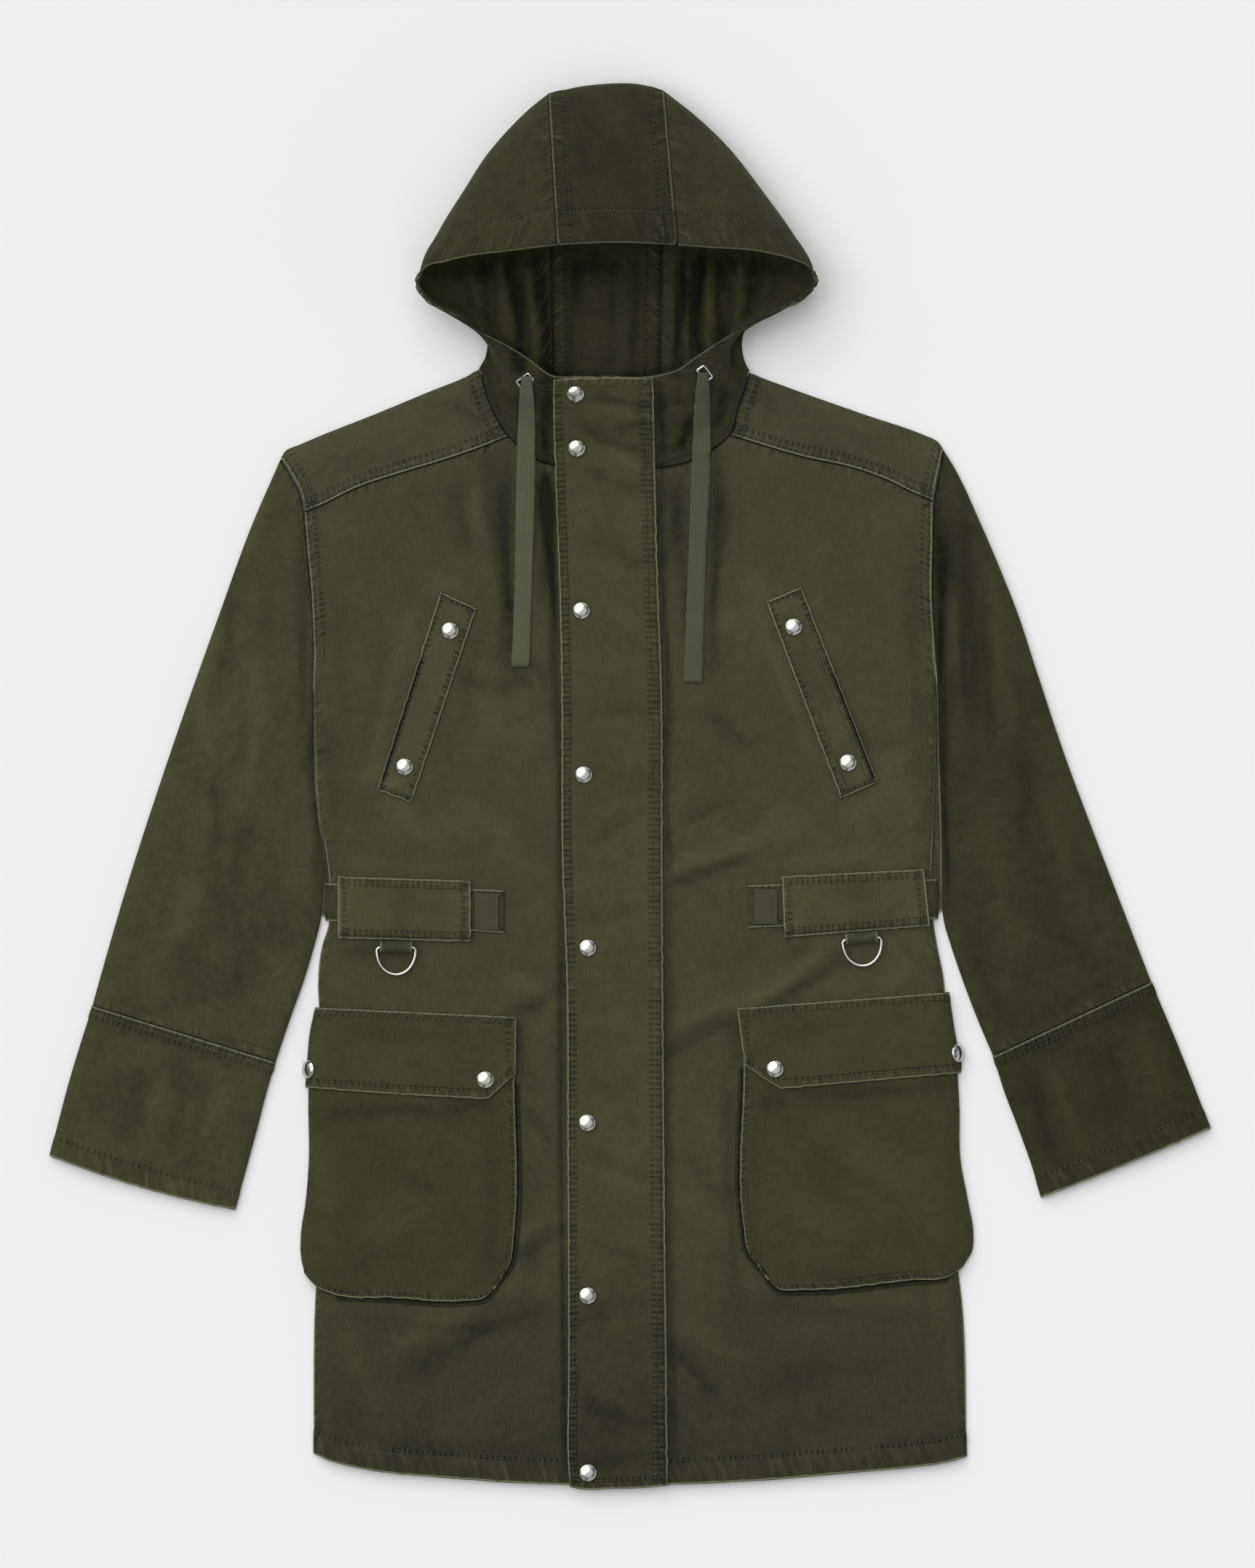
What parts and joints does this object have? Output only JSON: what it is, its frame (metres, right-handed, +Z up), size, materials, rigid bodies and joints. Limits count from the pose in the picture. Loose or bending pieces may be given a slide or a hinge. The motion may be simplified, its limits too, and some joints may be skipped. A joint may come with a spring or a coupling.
{
  "type": "hooded parka, laid flat",
  "caption": "Hooded parka of olive cotton twill laid flat on its back and fastened, hood open, with a storm placket, slanted chest pockets, waist straps and bellows pockets.",
  "frame": {"origin": "middle of the box round the coat, on the surface that it lies on", "axes": "+Z up from the surface, out of the coat's front; +Y from the hem towards the hood; +X to the right as seen from above, which is the wearer's left"},
  "size_m": [0.9574, 1.1594, 0.062],
  "materials": {
    "olive_twill": "garment-dyed cotton twill, matt",
    "dark_twill": "garment-dyed cotton twill and webbing, matt",
    "tape": "flat woven cotton tape, matt",
    "snap_metal": "polished nickel",
    "ring_metal": "polished nickel, a little worn"
  },
  "bodies": {
    "coat": {"back_panel": "olive_twill", "front_left": "olive_twill", "front_right": "olive_twill", "yoke_left": "olive_twill", "yoke_right": "olive_twill", "sleeve_left": "olive_twill", "sleeve_right": "olive_twill", "cuff_left": "olive_twill", "cuff_right": "olive_twill", "hood_centre": "olive_twill", "hood_left": "olive_twill", "hood_right": "olive_twill", "placket": "olive_twill", "chest_welt_left": "olive_twill", "chest_welt_right": "olive_twill", "tunnel_left": "olive_twill", "tunnel_right": "olive_twill", "strap_left": "olive_twill", "strap_right": "olive_twill", "tab_left": "dark_twill", "tab_right": "dark_twill", "ring_loop_left": "dark_twill", "ring_loop_right": "dark_twill", "pocket_left": "olive_twill", "pocket_right": "olive_twill", "gusset_left": "dark_twill", "gusset_right": "dark_twill", "flap_left": "olive_twill", "flap_right": "olive_twill", "drawstring_left": "tape", "drawstring_right": "tape", "snap_placket_1": "snap_metal", "snap_placket_2": "snap_metal", "snap_placket_3": "snap_metal", "snap_placket_4": "snap_metal", "snap_placket_5": "snap_metal", "snap_placket_6": "snap_metal", "snap_placket_7": "snap_metal", "snap_placket_8": "snap_metal", "snap_chest_left_1": "snap_metal", "snap_chest_left_2": "snap_metal", "snap_chest_right_1": "snap_metal", "snap_chest_right_2": "snap_metal", "snap_flap_left": "snap_metal", "snap_flap_right": "snap_metal", "snap_side_left": "snap_metal", "snap_side_right": "snap_metal", "outlet_left": "ring_metal", "outlet_right": "ring_metal"},
    "d_ring_left": {"d_ring_left": "ring_metal"},
    "d_ring_right": {"d_ring_right": "ring_metal"}
  },
  "joints": [
    {"name": "d_ring_left_swing", "type": "hinge", "parent": "coat", "child": "d_ring_left", "pos_m": [-0.193, -0.1324, 0.0102], "axis": [-1, 0, 0], "range_deg": [0, 150]},
    {"name": "d_ring_right_swing", "type": "hinge", "parent": "coat", "child": "d_ring_right", "pos_m": [0.1908, -0.1252, 0.0102], "axis": [-0.9969, -0.0785, 0], "range_deg": [0, 150]}
  ]
}
